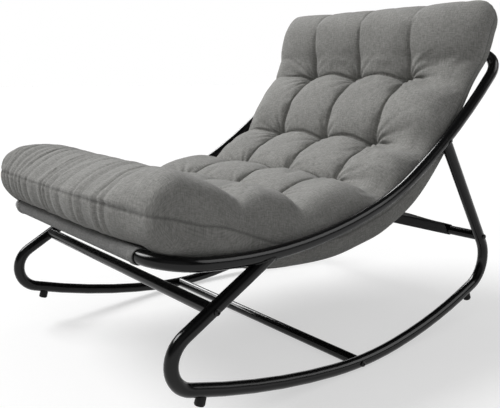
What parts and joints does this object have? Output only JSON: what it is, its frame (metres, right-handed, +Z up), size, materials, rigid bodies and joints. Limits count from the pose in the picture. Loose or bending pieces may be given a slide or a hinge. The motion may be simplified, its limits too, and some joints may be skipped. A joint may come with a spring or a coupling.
{
  "type": "outdoor rocking chair",
  "caption": "Low padded rocking chair: a bent tube frame on curved rockers, a cloth sling with a rear strap, and one long tufted cushion.",
  "frame": {"origin": "on the floor, under the middle of the chair's overall box", "axes": "+Z up, the chair faces -Y, +X to the right-hand side in a front view"},
  "size_m": [0.714, 1.0164, 0.7883],
  "materials": {
    "frame_paint": "semi-gloss black powder coat",
    "bolt_black": "black coated steel",
    "stop_rubber": "matt black",
    "sling_fabric": "dark grey woven polyester",
    "strap_fabric": "near-black woven polyester",
    "cushion_fabric": "warm grey plain-weave outdoor fabric"
  },
  "bodies": {
    "root": {"seat_rail_right": "frame_paint", "seat_rail_left": "frame_paint", "front_bar": "frame_paint", "top_bar": "frame_paint", "rocker_base_right": "frame_paint", "rocker_base_left": "frame_paint", "front_cross_tube": "frame_paint", "mid_cross_tube": "frame_paint", "rear_cross_tube": "frame_paint", "bolt_front_right": "bolt_black", "bolt_front_left": "bolt_black", "bolt_mid_right": "bolt_black", "bolt_mid_left": "bolt_black", "bolt_rear_right": "bolt_black", "bolt_rear_left": "bolt_black", "stop_front_right": "stop_rubber", "stop_front_left": "stop_rubber", "stop_rear_right": "stop_rubber", "stop_rear_left": "stop_rubber", "sling": "sling_fabric", "rear_strap": "strap_fabric", "cushion": "cushion_fabric"}
  },
  "joints": []
}
